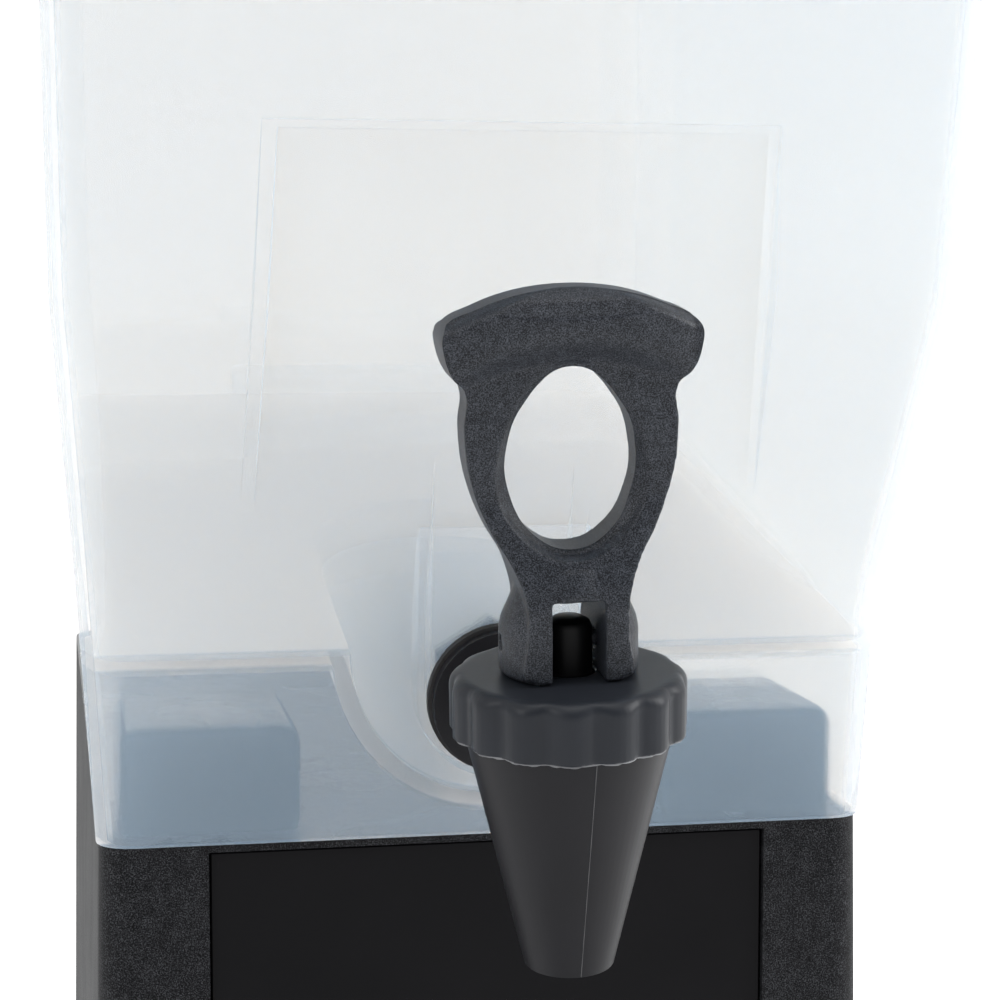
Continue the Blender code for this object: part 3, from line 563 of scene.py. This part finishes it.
# ---- parting line of the spout -----------------------------------------------------------------
SEAM_TOP = (19.2, 14.3)                # radius and height of its end under the bonnet ...
SEAM_BOTTOM = (8.5, -30.7)             # ... and of its end near the spout's mouth
SEAM_AZIMUTH = math.radians(-87)
SEAM_HALF = 0.09                       # half width ...
SEAM_WAVER = 0.02                      # ... how much it varies ...
SEAM_WAVES = 41                        # ... and how fast, in radians from end to end
SEAM_STEPS = 40
SEAM_SECTION = ((-1, -0.15), (-0.6, 0.05), (0.6, 0.05), (1, -0.15))    # across in half widths, out


def make_seam():
    """Fine ridge that stands on the front of the cone."""
    bm = bmesh.new()
    rows = []
    for i in range(SEAM_STEPS + 1):
        t = i / SEAM_STEPS
        radius, height = (top + (bottom - top) * t for top, bottom in zip(SEAM_TOP, SEAM_BOTTOM))
        half = SEAM_HALF + SEAM_WAVER * math.sin(t * SEAM_WAVES)
        row = []
        for side, stand in SEAM_SECTION:
            out = (radius + stand) * MM
            across = side * half * MM
            row.append(bm.verts.new((out * math.cos(SEAM_AZIMUTH) - across * math.sin(SEAM_AZIMUTH),
                                     out * math.sin(SEAM_AZIMUTH) + across * math.cos(SEAM_AZIMUTH),
                                     height * MM)))
        rows.append(row)
    for row, after in zip(rows, rows[1:]):
        for k in range(len(row)):
            n = (k + 1) % len(row)
            bm.faces.new((row[k], row[n], after[n], after[k]))
    bm.faces.new(rows[0])
    bm.faces.new(list(reversed(rows[-1])))
    bmesh.ops.recalc_face_normals(bm, faces=bm.faces[:])
    seam = mesh_object("spout_seam", bm)
    seam.matrix_world = tap_matrix()
    shade(seam, SEAM_GREY)
    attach(seam, "tank")


# ---- spring ------------------------------------------------------------------------------------
def make_spring():
    """Return spring between the bonnet and the stem, copied from the CAD spring and carried with the tank.
    """
    spring = link_object("coiled_spring", NODES["tap_spring"].data.copy())
    shade(spring, STEEL, COIL_CREASE)
    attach(spring, "tank")
    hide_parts("tap_spring")
    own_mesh(spring)


make_handle()
make_bonnet()
make_spring()
make_flash()
make_seam()


# ---- studio ------------------------------------------------------------------------------------
WHITE = (1.0, 1.0, 1.0)
STUDIO_FLOOR_RADIUS = 40
STUDIO_FLOOR_EMISSION = 0.25
DARK_TOWARDS, WHITE_TOWARDS = -0.97, -0.50    # Y of the directions between which the world brightens
DARK_STRENGTH, WHITE_STRENGTH = 0.10, 1.31
LIT_PLACE = (0, -0.1, 0.28)                   # what the two softboxes at the sides point at


def make_floor():
    """Plain white floor, bright enough to run into the white surroundings."""
    bm = bmesh.new()
    bmesh.ops.create_circle(bm, cap_ends=True, segments=96, radius=STUDIO_FLOOR_RADIUS)
    floor = mesh_object("studio_floor", bm)
    s = Shader("floor_white")
    tone = s.ramp(s.noise(0.6, detail=1.0), [(0.4, (0.90, 0.90, 0.90)), (0.6, (0.93, 0.93, 0.93))])
    bsdf = s.add("BsdfPrincipled", Base_Color=tone, Roughness=0.9, Specular_IOR_Level=0.2,
                 Emission_Color=WHITE, Emission_Strength=STUDIO_FLOOR_EMISSION)
    floor.data.materials.append(s.finish(bsdf.outputs["BSDF"]))


def make_world():
    """White surroundings, darker on the side that the tap faces."""
    world = bpy.data.worlds.new("studio")
    bpy.context.scene.world = world
    world.use_nodes = True
    tree = world.node_tree
    background = tree.nodes["Background"]
    background.inputs["Color"].default_value = (*WHITE, 1.0)
    direction = tree.nodes.new("ShaderNodeTexCoord")
    split = tree.nodes.new("ShaderNodeSeparateXYZ")
    tree.links.new(direction.outputs["Generated"], split.inputs["Vector"])
    brightening = tree.nodes.new("ShaderNodeMapRange")
    for key, value in {"From Min": DARK_TOWARDS, "From Max": WHITE_TOWARDS,
                       "To Min": DARK_STRENGTH, "To Max": WHITE_STRENGTH}.items():
        brightening.inputs[key].default_value = value
    tree.links.new(split.outputs["Y"], brightening.inputs["Value"])
    tree.links.new(brightening.outputs["Result"], background.inputs["Strength"])


def area_light(name, location, target, size, power):
    data = bpy.data.lights.new(name, "AREA")
    data.shape = "RECTANGLE"
    data.size, data.size_y = size
    data.energy = power
    light = link_object(name, data)
    light.location = location
    light.rotation_euler = (Vector(target) - Vector(location)).to_track_quat("-Z", "Y").to_euler()


def make_camera(location, degrees_down, degrees_right, lens):
    """Camera that looks towards +Y, turned down and to the right."""
    data = bpy.data.cameras.new("studio_camera")
    data.lens = lens
    data.sensor_width = 36.0
    data.clip_start = 0.01
    camera = link_object("studio_camera", data)
    camera.location = location
    camera.rotation_euler = (math.radians(90 - degrees_down), 0, math.radians(-degrees_right))
    bpy.context.scene.camera = camera


bpy.context.scene.view_settings.view_transform = "Standard"
make_floor()
make_world()
area_light("softbox_left", location=(-1.3, -0.9, 1.0), target=LIT_PLACE, size=(0.7, 0.9), power=7)
area_light("softbox_right", location=(1.2, -0.35, 0.8), target=LIT_PLACE, size=(0.5, 0.9), power=15)
area_light("softbox_top", location=(0, -0.5, 1.9), target=(0, 0, 0.3), size=(1.2, 1.2), power=12)
make_camera(location=(-0.0911, -0.553, 0.3433), degrees_down=5.04, degrees_right=10.75, lens=82.8)
